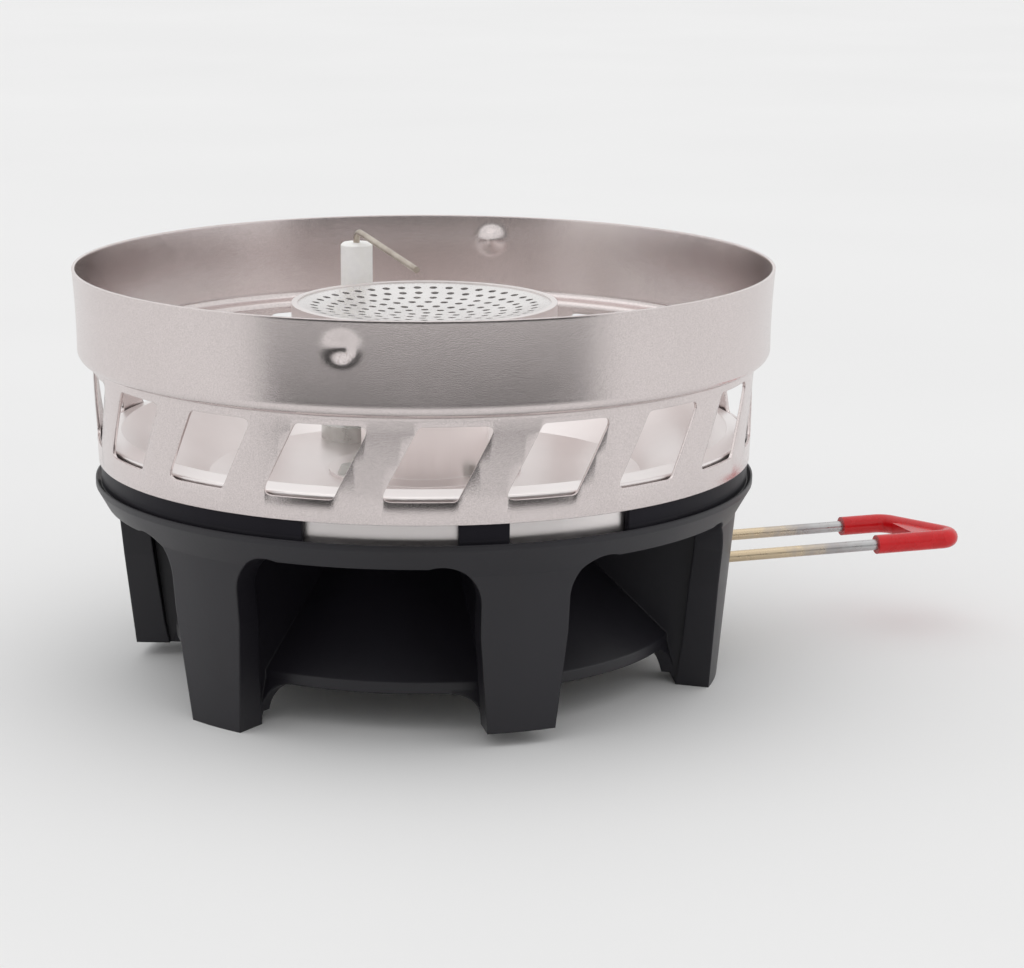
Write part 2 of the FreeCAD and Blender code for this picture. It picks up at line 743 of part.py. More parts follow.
def make_valve():
    """Valve body on the axis, with the canister connector below it and the jet above."""
    body = part("PartDesign::Body", "valve_body")
    spin(
        body,
        "Revolution",
        "valve_block",
        [
            ("0", "socket_z"),
            ("socket_radius", "socket_z"),
            ("socket_radius", "body_z"),
            ("body_radius", "body_z"),
            ("body_radius", "body_top_z"),
            ("neck_radius + collar_step", "body_top_z"),
            ("neck_radius + collar_step", "plate_z - 0.6"),
            ("neck_radius", "plate_z - 0.6"),
            ("neck_radius", "neck_top_z"),
            ("0", "neck_top_z"),
        ],
    )
    boss = circle_sketch(body, "YZ_Plane", "boss_outline", "0", "spindle_z", "boss_radius")
    boss.AttachmentOffset = FreeCAD.Placement(V(0, 0, size("boss_start")), FreeCAD.Rotation())
    pad = body.newObject("PartDesign::Pad", "boss")
    pad.Profile = boss
    bind(pad, Length="boss_end - boss_start")
    body.Tip = pad
    tunnel = circle_sketch(body, "YZ_Plane", "tunnel_outline", "0", "spindle_z", "spindle_bore")
    tunnel.AttachmentOffset = FreeCAD.Placement(V(0, 0, size("tunnel_start")), FreeCAD.Rotation())
    cut(body, tunnel, "tunnel", "boss_end", reverse=True)
    chamber = circle_sketch(body, "YZ_Plane", "chamber_outline", "0", "spindle_z", "needle_radius + 0.05")
    chamber.AttachmentOffset = FreeCAD.Placement(V(0, 0, size("seat_start")), FreeCAD.Rotation())
    cut(body, chamber, "needle_chamber", "boss_end", reverse=True)
    seat = circle_sketch(body, "YZ_Plane", "seat_outline", "0", "spindle_z", "orifice_radius")
    seat.AttachmentOffset = FreeCAD.Placement(V(0, 0, size("gas_way_reach")), FreeCAD.Rotation())
    cut(body, seat, "needle_seat", "boss_end", reverse=True)
    inlet = circle_sketch(body, "XY_Plane", "inlet_outline", "gas_inlet_reach", "0", "gas_way_radius")
    inlet.AttachmentOffset = FreeCAD.Placement(V(0, 0, size("socket_z - 0.2")), FreeCAD.Rotation())
    cut(body, inlet, "gas_inlet", "spindle_z - socket_z + 0.2", reverse=True)
    gas = circle_sketch(body, "XY_Plane", "gas_way_outline", "gas_way_reach", "0", "gas_way_radius")
    gas.AttachmentOffset = FreeCAD.Placement(V(0, 0, size("spindle_z")), FreeCAD.Rotation())
    cut(body, gas, "gas_way", "plate_z - spindle_z + 0.2", reverse=True)
    jet_seat = circle_sketch(body, "XY_Plane", "jet_thread_outline", "0", "0", "jet_thread")
    jet_seat.AttachmentOffset = FreeCAD.Placement(V(0, 0, size("plate_z")), FreeCAD.Rotation())
    cut(body, jet_seat, "jet_thread", "plate_z", reverse=True)

    nut = part("Part::Cut", "lock_nut")
    hexagon = bind(
        helper("Part::Prism", "lock_nut_hexagon"), Circumradius="nut_half", Height="2.6"
    )
    hexagon.Polygon = 6
    hexagon.Placement.Base = V(0, 0, size("pan_floor_z + steel"))
    hole = bind(helper("Part::Cylinder", "lock_nut_hole"), Radius="neck_radius", Height="5.0")
    hole.Placement.Base = V(0, 0, size("pan_floor_z"))
    nut.Base = hexagon
    nut.Tool = hole

    turned_body(
        "gas_jet",
        [
            ("jet_hole", "plate_z + 2.0"),
            ("jet_thread", "plate_z + 2.0"),
            ("jet_thread", "neck_top_z"),
            ("jet_head", "neck_top_z"),
            ("jet_head", "neck_top_z + 2.4"),
            ("jet_head - 2.0", "neck_top_z + 3.4"),
            ("jet_hole", "neck_top_z + 3.4"),
        ],
    )
    turned_body(
        "canister_connector",
        [
            ("thread_radius", "0"),
            ("connector_radius", "0"),
            ("connector_radius", "body_z"),
            ("socket_radius", "body_z"),
            ("socket_radius", "socket_z"),
            ("thread_radius + 0.8", "socket_z"),
            ("thread_radius + 0.8", "thread_z"),
            ("thread_radius", "thread_z"),
        ],
    )
    seal = part("Part::Torus", "connector_seal")
    bind(seal, Radius1="thread_radius - 0.3", Radius2="0.9")
    seal.Placement.Base = V(0, 0, size("thread_z + 1.0"))
    pin = part("Part::Cylinder", "opening_pin")
    bind(pin, Radius="filter_hole", Height="socket_z - thread_z - 0.2")
    pin.Placement.Base = V(0, 0, size("thread_z + 0.2"))
    screen = part("Part::Cut", "gas_filter")
    outer = bind(helper("Part::Cylinder", "filter_disc"), Radius="filter_radius", Height="0.8")
    outer.Placement.Base = V(0, 0, size("socket_z - 0.8"))
    inner = bind(helper("Part::Cylinder", "filter_hole"), Radius="filter_hole", Height="2.0")
    inner.Placement.Base = V(0, 0, size("socket_z - 1.5"))
    screen.Base = outer
    screen.Tool = inner


def along_x(thing, start):
    """Stand a Z-built primitive along +X on the spindle's axis."""
    thing.Placement = FreeCAD.Placement(V(start, 0, size("spindle_z")), FreeCAD.Rotation(V(0, 1, 0), 90))
    return thing


def make_spindle():
    """Turned spindle with the handle's hub, its needle, seal and gland nut."""
    body = part("PartDesign::Body", "valve_spindle")
    spin(
        body,
        "Revolution",
        "spindle_turning",
        [
            ("0", "spindle_start + needle_bore"),
            ("needle_radius + 0.05", "spindle_start + needle_bore"),
            ("needle_radius + 0.05", "spindle_start"),
            ("spindle_radius", "spindle_start"),
            ("spindle_radius", "hub_start"),
            ("hub_radius", "hub_start"),
            ("hub_radius", "spindle_end"),
            ("0", "spindle_end"),
        ],
    )
    cross = circle_sketch(body, "XZ_Plane", "cross_hole_outline", "0", "pivot_reach", "cross_hole")
    cut(body, cross, "cross_hole_opening", "20", both=True)
    along_x(body, 0)

    needle = part("Part::Fuse", "valve_needle")
    stem = bind(helper("Part::Cylinder", "needle_stem"), Radius="needle_radius", Height="needle_long")
    tip = helper("Part::Cone", "needle_tip")
    bind(tip, Radius1="needle_radius - 0.7", Radius2="needle_radius", Height="needle_tip")
    along_x(stem, size("needle_start + needle_tip"))
    along_x(tip, size("needle_start"))
    needle.Base = stem
    needle.Tool = tip

    seal = part("Part::Torus", "spindle_seal")
    bind(seal, Radius1="spindle_radius + 0.75", Radius2="0.7")
    along_x(seal, size("boss_end + 1.0"))

    nut = part("Part::Cut", "gland_nut")
    hexagon = bind(helper("Part::Prism", "gland_hexagon"), Circumradius="gland_half", Height="gland_long")
    hexagon.Polygon = 6
    along_x(hexagon, size("boss_end"))
    pocket = bind(helper("Part::Cylinder", "gland_pocket"), Radius="spindle_radius + 1.5", Height="2.0")
    along_x(pocket, size("boss_end"))
    hole = bind(helper("Part::Cylinder", "gland_hole"), Radius="spindle_bore", Height="gland_long + 1.0")
    along_x(hole, size("boss_end"))
    hollow = helper("Part::Fuse", "gland_hollow")
    hollow.Base = pocket
    hollow.Tool = hole
    nut.Base = hexagon
    nut.Tool = hollow


def bent_path(corners, radii):
    """Wire of straight runs joined by tangent arcs, one radius for each inner corner."""
    edges = []
    start = corners[0]
    for index, radius in enumerate(radii, start=1):
        before = (corners[index - 1] - corners[index]).normalize()
        after = (corners[index + 1] - corners[index]).normalize()
        half = before.getAngle(after) / 2
        reach = radius / math.tan(half)
        first = corners[index] + before * reach
        last = corners[index] + after * reach
        bisector = (before + after).normalize()
        middle = corners[index] + bisector * (radius / math.sin(half) - radius)
        edges.append(Part.LineSegment(start, first).toShape())
        edges.append(Part.Arc(first, middle, last).toShape())
        start = last
    edges.append(Part.LineSegment(start, corners[-1]).toShape())
    return Part.Wire(edges)


def piped(path, radius):
    """Round bar along a path."""
    start = path.Edges[0].valueAt(path.Edges[0].FirstParameter)
    heading = path.Edges[0].tangentAt(path.Edges[0].FirstParameter)
    section = Part.Wire([Part.Circle(start, heading, radius).toShape()])
    return path.makePipeShell([section], True, False)


def made(label, shape, place=None):
    """Piece whose shape no document feature makes directly."""
    piece = part("Part::Feature", label)
    piece.Shape = shape
    if place:
        piece.Placement = place
    return piece


def make_handle():
    """Wire loop hooked in the spindle's cross-hole, and its dipped grip over the far end."""
    height = size("spindle_z")
    half = size("loop_half")
    pivot = size("pivot_reach")
    near = V(size("loop_tip"), -half, height)
    far = V(size("loop_shoulder"), half, height)
    loop = bent_path(
        [
            V(pivot, -size("loop_inner"), height),
            V(pivot, -half, height),
            near,
            far,
            V(pivot, half, height),
            V(pivot, size("loop_inner"), height),
        ],
        [PIVOT_BEND, NEAR_BEND, FAR_BEND, PIVOT_BEND],
    )
    wire = piped(loop, size("wire_radius"))
    made("wire_handle", wire)

    start = size("grip_start")
    route = bent_path(
        [V(start, -half, height), near, far, V(start, half, height)],
        [NEAR_BEND, FAR_BEND],
    )
    coat = piped(route, size("grip_radius"))
    shoulder = size("loop_shoulder")
    level = height - size("web_thick") / 2
    corners = [
        V(shoulder, -half, level),
        V(shoulder + 7.0, -half, level),
        V(shoulder + 2.0, 2.6, level),
        V(shoulder - 0.4, 2.6, level),
    ]
    web = Part.Face(Part.makePolygon(corners + corners[:1])).extrude(V(0, 0, size("web_thick")))
    made("handle_grip", coat.fuse(web).cut(wire).removeSplitter())


def make_igniter():
    """Piezo unit in the arch behind, its button and spring, the lead and the spark electrode."""
    place = turned(IGNITER_ANGLE)
    lift = V(0, 0, size("igniter_z"))
    out = V(1, 0, 0)

    def bar(start, end, radius):
        return Part.makeCylinder(radius, end - start, lift + out * start, out)

    start = size("igniter_start")
    end = size("igniter_end")
    cap_start = size("igniter_end + cap_start")
    cap_end = size("igniter_end + cap_end")
    bore = bar(size("igniter_start + case_floor"), end + FINE, size("button_bore"))
    case = bar(start, end, size("igniter_radius"))
    made("igniter_body", case.cut(bore), place)
    stem = bar(size("igniter_end - stem_inside"), cap_start, size("button_radius"))
    cap = bar(cap_start, cap_end, size("button_cap"))
    cap = cap.makeFillet(size("cap_edge"), [e for e in cap.Edges if abs(e.CenterOfMass.x - cap_end) < FINE])
    made("igniter_button", stem.fuse(cap), place)
    coil_radius = size("coil_radius")
    coils = Part.makeHelix(size("coil_pitch"), size("coil_long"), coil_radius)
    section = Part.Circle(V(coil_radius, 0, 0), V(0, 1, 0), size("coil_wire"))
    spring = Part.Wire(coils).makePipeShell([Part.Wire([section.toShape()])], True, True)
    seat = lift + out * size("igniter_start + case_floor + coil_wire + 0.1")
    along = FreeCAD.Placement(seat, FreeCAD.Rotation(V(0, 1, 0), 90))
    made("igniter_spring", spring, place.multiply(along))
    half = size("saddle_half")
    corner = lift + V(size("igniter_start + 3.0"), -half, 0)
    saddle = Part.makeBox(size("saddle_long"), 2 * half, size("plate_z - igniter_z"), corner)
    made("igniter_clamp", saddle.cut(case), place)


def make_electrode():
    """Ceramic rod through the pan, its clamp, the spark wire over the disc and the lead below."""
    ceramic = part("PartDesign::Body", "ceramic_insulator")
    spin(
        ceramic,
        "Revolution",
        "ceramic_turning",
        [
            ("spark_radius", "ceramic_bottom_z"),
            ("ceramic_radius", "ceramic_bottom_z"),
            ("ceramic_radius", "pan_floor_z + steel"),
            ("ceramic_radius + 1.4", "pan_floor_z + steel"),
            ("ceramic_radius + 1.4", "pan_floor_z + 2.5"),
            ("ceramic_radius", "pan_floor_z + 2.5"),
            ("ceramic_radius", "ceramic_top_z - 0.4"),
            ("ceramic_radius - 0.4", "ceramic_top_z"),
            ("spark_radius", "ceramic_top_z"),
        ],
    )
    angle = math.radians(CERAMIC_ANGLE)
    toward = V(math.cos(angle), math.sin(angle), 0)
    foot = toward * size("ceramic_reach")
    ceramic.Placement.Base = foot

    clamp = part("PartDesign::Body", "insulator_clamp")
    spin(
        clamp,
        "Revolution",
        "clamp_turning",
        [
            ("ceramic_radius + 0.1", "pan_floor_z + 2.5"),
            ("ceramic_radius + 3.0", "pan_floor_z + 2.5"),
            ("ceramic_radius + 3.0", "pan_floor_z + steel"),
            ("ceramic_radius + 3.6", "pan_floor_z + steel"),
            ("ceramic_radius + 3.6", "pan_floor_z + 3.1"),
            ("ceramic_radius + 0.1", "pan_floor_z + 3.1"),
        ],
    )
    clamp.Placement.Base = foot

    low = foot + V(0, 0, size("ceramic_bottom_z"))
    high = foot + V(0, 0, size("spark_peak_z"))
    spark_end = toward * size("spark_tip_reach") + V(0, 0, size("spark_tip_z"))
    rod = bent_path([low, high, spark_end], [size("spark_bend")])
    made("electrode_wire", piped(rod, size("spark_radius")))

    away = FreeCAD.Rotation(V(0, 0, 1), IGNITER_ANGLE).multVec(V(1, 0, 0))
    plug = away * size("igniter_start") + V(0, 0, size("igniter_z"))
    level = V(0, 0, size("well_z + lead_radius + 0.3"))
    lead = bent_path(
        [plug, plug - away * 3.4, foot + V(-6.0, -2.2, 0) + level, foot + level, low],
        LEAD_BENDS,
    )
    made("ignition_lead", piped(lead, size("lead_radius")))


def check_parts():
    """Stop on a failed object or a shape that is missing or invalid."""
    doc.recompute()
    for thing in doc.Objects:
        if {"Invalid", "Error"} & set(thing.State):
            raise RuntimeError(f"{thing.Name} failed: {thing.State}")
    for thing in parts:
        if thing.Shape.isNull() or not thing.Shape.isValid():
            raise RuntimeError(f"{thing.Label} has a bad shape")
        print(f"{thing.Label}: {len(thing.Shape.Solids)} solids, {thing.Shape.Volume:.1f} mm3")


def write_parts():
    os.makedirs("parts", exist_ok=True)
    for thing in parts:
        thing.Shape.exportStep(f"parts/{thing.Label}.step")


make_wind_ring()
make_dimples()
make_burner_pan()
make_housing()
make_burner_head()
make_pan_screws()
make_valve()
make_spindle()
make_handle()
make_igniter()
make_electrode()
check_parts()
write_parts()
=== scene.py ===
"""Looks of the canister stove burner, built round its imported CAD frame."""

import json
import math

import bmesh
import bpy
from mathutils import Matrix, Vector


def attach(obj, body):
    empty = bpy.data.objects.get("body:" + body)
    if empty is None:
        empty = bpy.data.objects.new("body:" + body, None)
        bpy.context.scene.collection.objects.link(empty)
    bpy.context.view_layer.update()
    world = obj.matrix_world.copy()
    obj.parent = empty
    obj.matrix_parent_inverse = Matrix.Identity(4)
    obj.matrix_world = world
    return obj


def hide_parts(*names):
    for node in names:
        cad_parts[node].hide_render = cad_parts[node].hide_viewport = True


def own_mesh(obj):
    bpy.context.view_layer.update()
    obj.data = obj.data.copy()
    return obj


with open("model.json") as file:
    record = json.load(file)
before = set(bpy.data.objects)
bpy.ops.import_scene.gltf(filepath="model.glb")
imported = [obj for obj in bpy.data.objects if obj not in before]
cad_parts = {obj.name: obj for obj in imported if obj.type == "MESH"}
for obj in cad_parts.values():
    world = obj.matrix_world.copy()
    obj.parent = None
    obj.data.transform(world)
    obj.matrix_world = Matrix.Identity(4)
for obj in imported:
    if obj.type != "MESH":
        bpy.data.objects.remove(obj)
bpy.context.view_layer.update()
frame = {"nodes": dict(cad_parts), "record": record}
nodes = frame["nodes"]

MM = 0.001

# Camera: angles in degrees, lens in millimetres, place in metres
CAMERA_AZIMUTH = -19.22
CAMERA_ELEVATION = 12.736
CAMERA_ROLL = 0.231
CAMERA_LENS = 109.41
CAMERA_PLACE = (-0.15303, -0.48303, 0.14043)

# Light: an even sky, and a patch above that spreads over this many degrees
SKY_STRENGTH = 0.92
TOP_LIGHT_TOWARD = (-0.2, 0.1, 1.0)
TOP_LIGHT_STRENGTH = 0.42
TOP_LIGHT_SPREAD = 80

# Floor: width in metres, and height in millimetres, level with the longer feet
FLOOR_SIZE = 40
FLOOR_Z = -5

# Dark card in front of the object: degrees round it, and a section of (reach, height) in metres
FLAG_STEPS = 24
FLAG_SPAN = 100.0
FLAG_CENTRE = -16.0
FLAG_LINE = ((0.26, -0.004), (0.55, -0.004), (0.60, 0.20))

# Wind ring, in millimetres. Its radii are those of the outer face, from the skirt's foot to the rim
SHEET = 0.5
SKIRT = ((53.8, 31.6), (54.0, 36.3), (54.2, 41.0), (54.4, 45.6))
BEND_START = (54.45, 47.7)
BEND_RADIUS = 0.7
BEND_STEPS = 6
CURL_START = (55.2, 48.4)
CURL_RADIUS = 1.7
CURL_STEPS = 8
COLLAR_ROWS = 34
RIM_RADIUS = 57.49
RIM_Z = 63.2
COLLAR_RADIUS = 56.9
COLLAR_Z = 48.8
COLLAR_WAIST = 0.18
DIMPLE_Z = 58.9
DIMPLE_RADIUS = 3.1
DIMPLE_DEPTH = 1.0
DIMPLE_ANGLES = (-120.0, 60.0)
WINDOWS = 18
WINDOW_PHASE = 4.5
WINDOW_SPAN = (35.2, 46.8)
WINDOW_HALF = 5.85
WINDOW_LEAN = 3.0
WINDOW_CORNER = 1.2
CORNER_STEPS = 5
CUTTER_REACH = (45.0, 65.0)
RING_STEPS = 540
EDGE_BREAK = 0.07

# Degrees between faces: cut edges above the first are broken, bends below the second shade smooth
BREAK_ABOVE = 50
SMOOTH_BELOW = 40

# Igniter spring, in millimetres: its line through the igniter case, and the coil
SPRING_ANGLE = 120.0
SPRING_START = 33.4
SPRING_LENGTH = 9.7
SPRING_Z = 19.5
COIL_RADIUS = 2.3
COIL_WIRE = 0.3
COIL_TURNS = 4.85
COIL_STEPS = 160
WIRE_SIDES = 10

# Places where a finish changes, in millimetres; the second pair is where the plastic's sheen drops,
# as painted shade under the ring
HEAT_ENDS = (50, 78)
PAINTED_SHADE_EDGE = (28.2, 29.2)


# ---------------------------------------------------------------- materials


class Finish:
    """A Principled material with helpers for the textures that vary over it."""

    def __init__(self, name, **sockets):
        self.material = bpy.data.materials.new(name)
        self.material.use_nodes = True
        self.tree = self.material.node_tree
        self.shader = self.tree.nodes["Principled BSDF"]
        for socket, value in sockets.items():
            self.shader.inputs[socket.replace("_", " ")].default_value = value
        self.place = self.tree.nodes.new("ShaderNodeTexCoord").outputs["Object"]

    def node(self, kind, **inputs):
        """Shader node of this kind, with these values or links at its inputs."""
        node = self.tree.nodes.new(kind)
        for socket, value in inputs.items():
            self.feed(node.inputs[socket.replace("_", " ")], value)
        return node

    def feed(self, socket, value):
        """Link the socket to another one, or set it to a plain value."""
        if isinstance(value, bpy.types.NodeSocket):
            self.tree.links.new(value, socket)
        else:
            socket.default_value = value

    def stretched(self, x, y, z):
        """Coordinates scaled per axis, so that a texture turns into streaks."""
        return self.node("ShaderNodeMapping", Vector=self.place, Scale=(x, y, z)).outputs[0]

    def noise(self, scale, detail=3.0, place=None, roughness=0.55):
        node = self.node(
            "ShaderNodeTexNoise",
            Vector=place or self.place,
            Scale=scale,
            Detail=detail,
            Roughness=roughness,
        )
        return node.outputs["Fac"]

    def spread(self, factor, low, high, start=0.3, end=0.7):
        """Map the middle of a noise to a range of numbers."""
        node = self.node("ShaderNodeMapRange", Value=factor)
        for index, value in enumerate((start, end, low, high), start=1):
            node.inputs[index].default_value = value
        return node.outputs[0]

    def colours(self, factor, *stops):
        """Ramp through these (position, colour) stops."""
        node = self.node("ShaderNodeValToRGB", Fac=factor)
        ramp = node.color_ramp
        while len(ramp.elements) < len(stops):
            ramp.elements.new(0.5)
        for element, (position, colour) in zip(ramp.elements, stops):
            element.position = position
            element.color = (*colour, 1)
        return node.outputs[0]

    def mix(self, factor, first, second):
        node = self.node("ShaderNodeMix")
        node.data_type = "RGBA"
        self.feed(node.inputs["Factor"], factor)
        for name, value in (("A", first), ("B", second)):
            socket = [s for s in node.inputs if s.name == name and s.type == "RGBA"][0]
            self.feed(socket, value)
        return [s for s in node.outputs if s.type == "RGBA"][0]

    def maths(self, operation, first, second):
        node = self.node("ShaderNodeMath")
        node.operation = operation
        self.feed(node.inputs[0], first)
        self.feed(node.inputs[1], second)
        return node.outputs[0]

    def bumped(self, height, depth, under=None):
        """Bump of this depth in metres, laid over the normal of an earlier one."""
        node = self.node("ShaderNodeBump", Height=height, Distance=depth)
        if under:
            self.feed(node.inputs["Normal"], under)
        return node.outputs[0]

    def rounded(self, radius):
        """Shading normal that rounds every edge."""
        node = self.node("ShaderNodeBevel", Radius=radius)
        node.samples = 6
        return node.outputs[0]

    def use(self, **links):
        """Material with these values or links at the shader's inputs."""
        for socket, value in links.items():
            self.feed(self.shader.inputs[socket.replace("_", " ")], value)
        return self.material


def blasted_steel():
    """Stainless sheet with a fine grainy skin, faint drawing marks and cloudy smudges."""
    f = Finish("collar_steel", Metallic=1.0, IOR=2.4)
    grain = f.noise(5200, 2, roughness=0.8)
    cloud = f.noise(60, 4)
    drawn = f.noise(900, 2, f.stretched(1, 1, 0.12))
    wash = f.colours(cloud, (0.3, (0.70, 0.635, 0.625)), (0.7, (0.75, 0.68, 0.67)))
    speck = f.colours(grain, (0.35, (0.42, 0.38, 0.37)), (0.65, (0.94, 0.86, 0.85)))
    tone = f.mix(0.35, wash, speck)
    normal = f.rounded(0.12 * MM)
    normal = f.bumped(grain, 0.014 * MM, normal)
    normal = f.bumped(drawn, 0.005 * MM, normal)
    return f.use(Base_Color=tone, Roughness=f.spread(cloud, 0.20, 0.26), Normal=normal)


def polished_steel():
    f = Finish("pan_steel", Metallic=1.0)
    cloud = f.noise(45, 4)
    scuff = f.noise(1500, 2)
    tone = f.colours(cloud, (0.3, (0.81, 0.765, 0.755)), (0.7, (0.88, 0.835, 0.825)))
    normal = f.bumped(scuff, 0.003 * MM, f.rounded(0.15 * MM))
    return f.use(Base_Color=tone, Roughness=f.spread(cloud, 0.28, 0.36), Normal=normal)


def disc_steel():
    f = Finish("disc_steel", Metallic=1.0)
    grain = f.noise(2200, 3)
    cloud = f.noise(90, 3)
    tone = f.colours(cloud, (0.3, (0.76, 0.74, 0.73)), (0.7, (0.86, 0.84, 0.83)))
    normal = f.bumped(grain, 0.006 * MM, f.rounded(0.1 * MM))
    return f.use(Base_Color=tone, Roughness=f.spread(grain, 0.25, 0.36), Normal=normal)


def zinc_steel():
    f = Finish("zinc_steel", Metallic=1.0)
    cloud = f.noise(400, 3)
    tone = f.colours(cloud, (0.3, (0.46, 0.46, 0.44)), (0.7, (0.6, 0.6, 0.58)))
    normal = f.bumped(cloud, 0.01 * MM, f.rounded(0.1 * MM))
    return f.use(Base_Color=tone, Roughness=f.spread(cloud, 0.25, 0.4), Normal=normal)


def handle_wire():
    """Drawn wire, straw coloured by heat beside the burner and plain further out."""
    f = Finish("handle_wire", Metallic=1.0)
    along = f.node("ShaderNodeSeparateXYZ", Vector=f.place).outputs["X"]
    speckle = f.noise(500, 3)
    reach = f.maths("ADD", along, f.spread(speckle, -0.003, 0.003))
    near, far = HEAT_ENDS
    heat = f.spread(reach, 0.0, 1.0, near * MM, far * MM)
    tint = f.colours(
        heat,
        (0.0, (0.62, 0.50, 0.34)),
        (0.45, (0.66, 0.54, 0.38)),
        (0.8, (0.42, 0.40, 0.40)),
        (1.0, (0.52, 0.52, 0.52)),
    )
    drawn = f.noise(1400, 2, f.stretched(0.08, 1, 1))
    normal = f.bumped(drawn, 0.01 * MM)
    return f.use(Base_Color=tint, Roughness=f.spread(speckle, 0.22, 0.38), Normal=normal)


def electrode_wire():
    f = Finish("electrode_wire", Metallic=1.0)
    cloud = f.noise(300, 3)
    tint = f.colours(cloud, (0.3, (0.36, 0.30, 0.25)), (0.7, (0.60, 0.55, 0.48)))
    normal = f.bumped(cloud, 0.01 * MM)
    return f.use(Base_Color=tint, Roughness=f.spread(cloud, 0.25, 0.45), Normal=normal)


def black_nylon():
    """Glass-filled nylon: satin moulded skin with soft edges, and its sheen turned down under the
    ring as painted shade.
    """
    f = Finish("black_nylon", Specular_IOR_Level=0.5)
    fine = f.noise(1800, 3)
    flow = f.noise(40, 4, f.stretched(1, 1, 0.4))
    tone = f.colours(flow, (0.3, (0.008, 0.007, 0.010)), (0.7, (0.013, 0.012, 0.017)))
    normal = f.rounded(0.45 * MM)
    normal = f.bumped(fine, 0.015 * MM, normal)
    normal = f.bumped(flow, 0.12 * MM, normal)
    height = f.node("ShaderNodeSeparateXYZ", Vector=f.place).outputs["Z"]
    below, above = PAINTED_SHADE_EDGE
    # Specular level falls from 0.5 to 0.1 over these heights: painted shade on the top of the
    # plastic, under the ring's skirt
    shaded_sheen = f.spread(height, 0.5, 0.1, below * MM, above * MM)
    rough = f.spread(flow, 0.34, 0.46)
    return f.use(Base_Color=tone, Specular_IOR_Level=shaded_sheen, Roughness=rough, Normal=normal)


def igniter_plastic():
    f = Finish("igniter_plastic")
    fine = f.noise(1500, 3)
    tone = f.colours(fine, (0.3, (0.02, 0.02, 0.02)), (0.7, (0.035, 0.035, 0.035)))
    normal = f.bumped(fine, 0.02 * MM, f.rounded(0.2 * MM))
    return f.use(Base_Color=tone, Roughness=f.spread(fine, 0.4, 0.55), Normal=normal)


def button_plastic():
    f = Finish("button_plastic", Coat_Weight=0.3, Coat_Roughness=0.1)
    fine = f.noise(900, 3)
    tone = f.colours(fine, (0.3, (0.012, 0.012, 0.013)), (0.7, (0.022, 0.022, 0.024)))
    normal = f.bumped(fine, 0.006 * MM, f.rounded(0.3 * MM))
    return f.use(Base_Color=tone, Roughness=f.spread(fine, 0.2, 0.3), Normal=normal)


def turned_brass():
    f = Finish("turned_brass", Metallic=1.0)
    cloud = f.noise(120, 4)
    rings = f.noise(3000, 2)
    tone = f.colours(cloud, (0.3, (0.56, 0.40, 0.17)), (0.7, (0.72, 0.55, 0.27)))
    normal = f.bumped(rings, 0.006 * MM, f.rounded(0.15 * MM))
    return f.use(Base_Color=tone, Roughness=f.spread(cloud, 0.2, 0.38), Normal=normal)


def seal_rubber():
    f = Finish("seal_rubber")
    fine = f.noise(1200, 3)
    tone = f.colours(fine, (0.3, (0.015, 0.015, 0.015)), (0.7, (0.03, 0.03, 0.03)))
    normal = f.bumped(fine, 0.02 * MM)
    return f.use(Base_Color=tone, Roughness=f.spread(fine, 0.5, 0.7), Normal=normal)


def red_vinyl():
    """Glossy dip-moulded vinyl."""
    f = Finish("red_vinyl", Coat_Weight=0.15, Coat_Roughness=0.12, Specular_IOR_Level=0.35)
    cloud = f.noise(220, 3)
    tone = f.colours(cloud, (0.3, (0.52, 0.003, 0.006)), (0.7, (0.62, 0.006, 0.011)))
    normal = f.bumped(cloud, 0.05 * MM)
    return f.use(Base_Color=tone, Roughness=f.spread(cloud, 0.22, 0.34), Normal=normal)


def white_ceramic():
    f = Finish("white_ceramic", Subsurface_Weight=0.15)
    f.shader.inputs["Subsurface Radius"].default_value = (0.001, 0.001, 0.0008)
    fine = f.noise(900, 4)
    tone = f.colours(fine, (0.3, (0.90, 0.89, 0.87)), (0.7, (0.95, 0.94, 0.92)))
    normal = f.bumped(fine, 0.02 * MM, f.rounded(0.2 * MM))
    return f.use(Base_Color=tone, Roughness=f.spread(fine, 0.4, 0.55), Normal=normal)


def silicone_lead():
    f = Finish("silicone_lead")
    fine = f.noise(700, 3)
    tone = f.colours(fine, (0.3, (0.02, 0.02, 0.02)), (0.7, (0.04, 0.04, 0.04)))
    normal = f.bumped(fine, 0.02 * MM)
    return f.use(Base_Color=tone, Roughness=f.spread(fine, 0.4, 0.55), Normal=normal)


FINISHES = {
    "steel_brushed": blasted_steel(),
    "steel_polished": polished_steel(),
    "steel_disc": disc_steel(),
    "steel_screw": zinc_steel(),
    "steel_wire": handle_wire(),
    "electrode": electrode_wire(),
    "black_plastic": black_nylon(),
    "igniter_plastic": igniter_plastic(),
    "button_plastic": button_plastic(),
    "brass": turned_brass(),
    "seal_rubber": seal_rubber(),
    "red_vinyl": red_vinyl(),
    "white_ceramic": white_ceramic(),
    "lead_silicone": silicone_lead(),
}


def finish_cad_nodes():
    """Every CAD node takes the finish of its slot in the record."""
    for subpart in frame["record"]["subparts"]:
        node = nodes[subpart["node"]]
        for place in node.material_slots:
            place.material = FINISHES[subpart["material_slot"]]


# ---------------------------------------------------------------- wind ring and spring


def finished_mesh(work, name):
    """Turn working geometry into an object in the scene."""
    bmesh.ops.recalc_face_normals(work, faces=work.faces)
    mesh = bpy.data.meshes.new(name)
    work.to_mesh(mesh)
    work.free()
    made = bpy.data.objects.new(name, mesh)
    bpy.context.collection.objects.link(made)
    return made


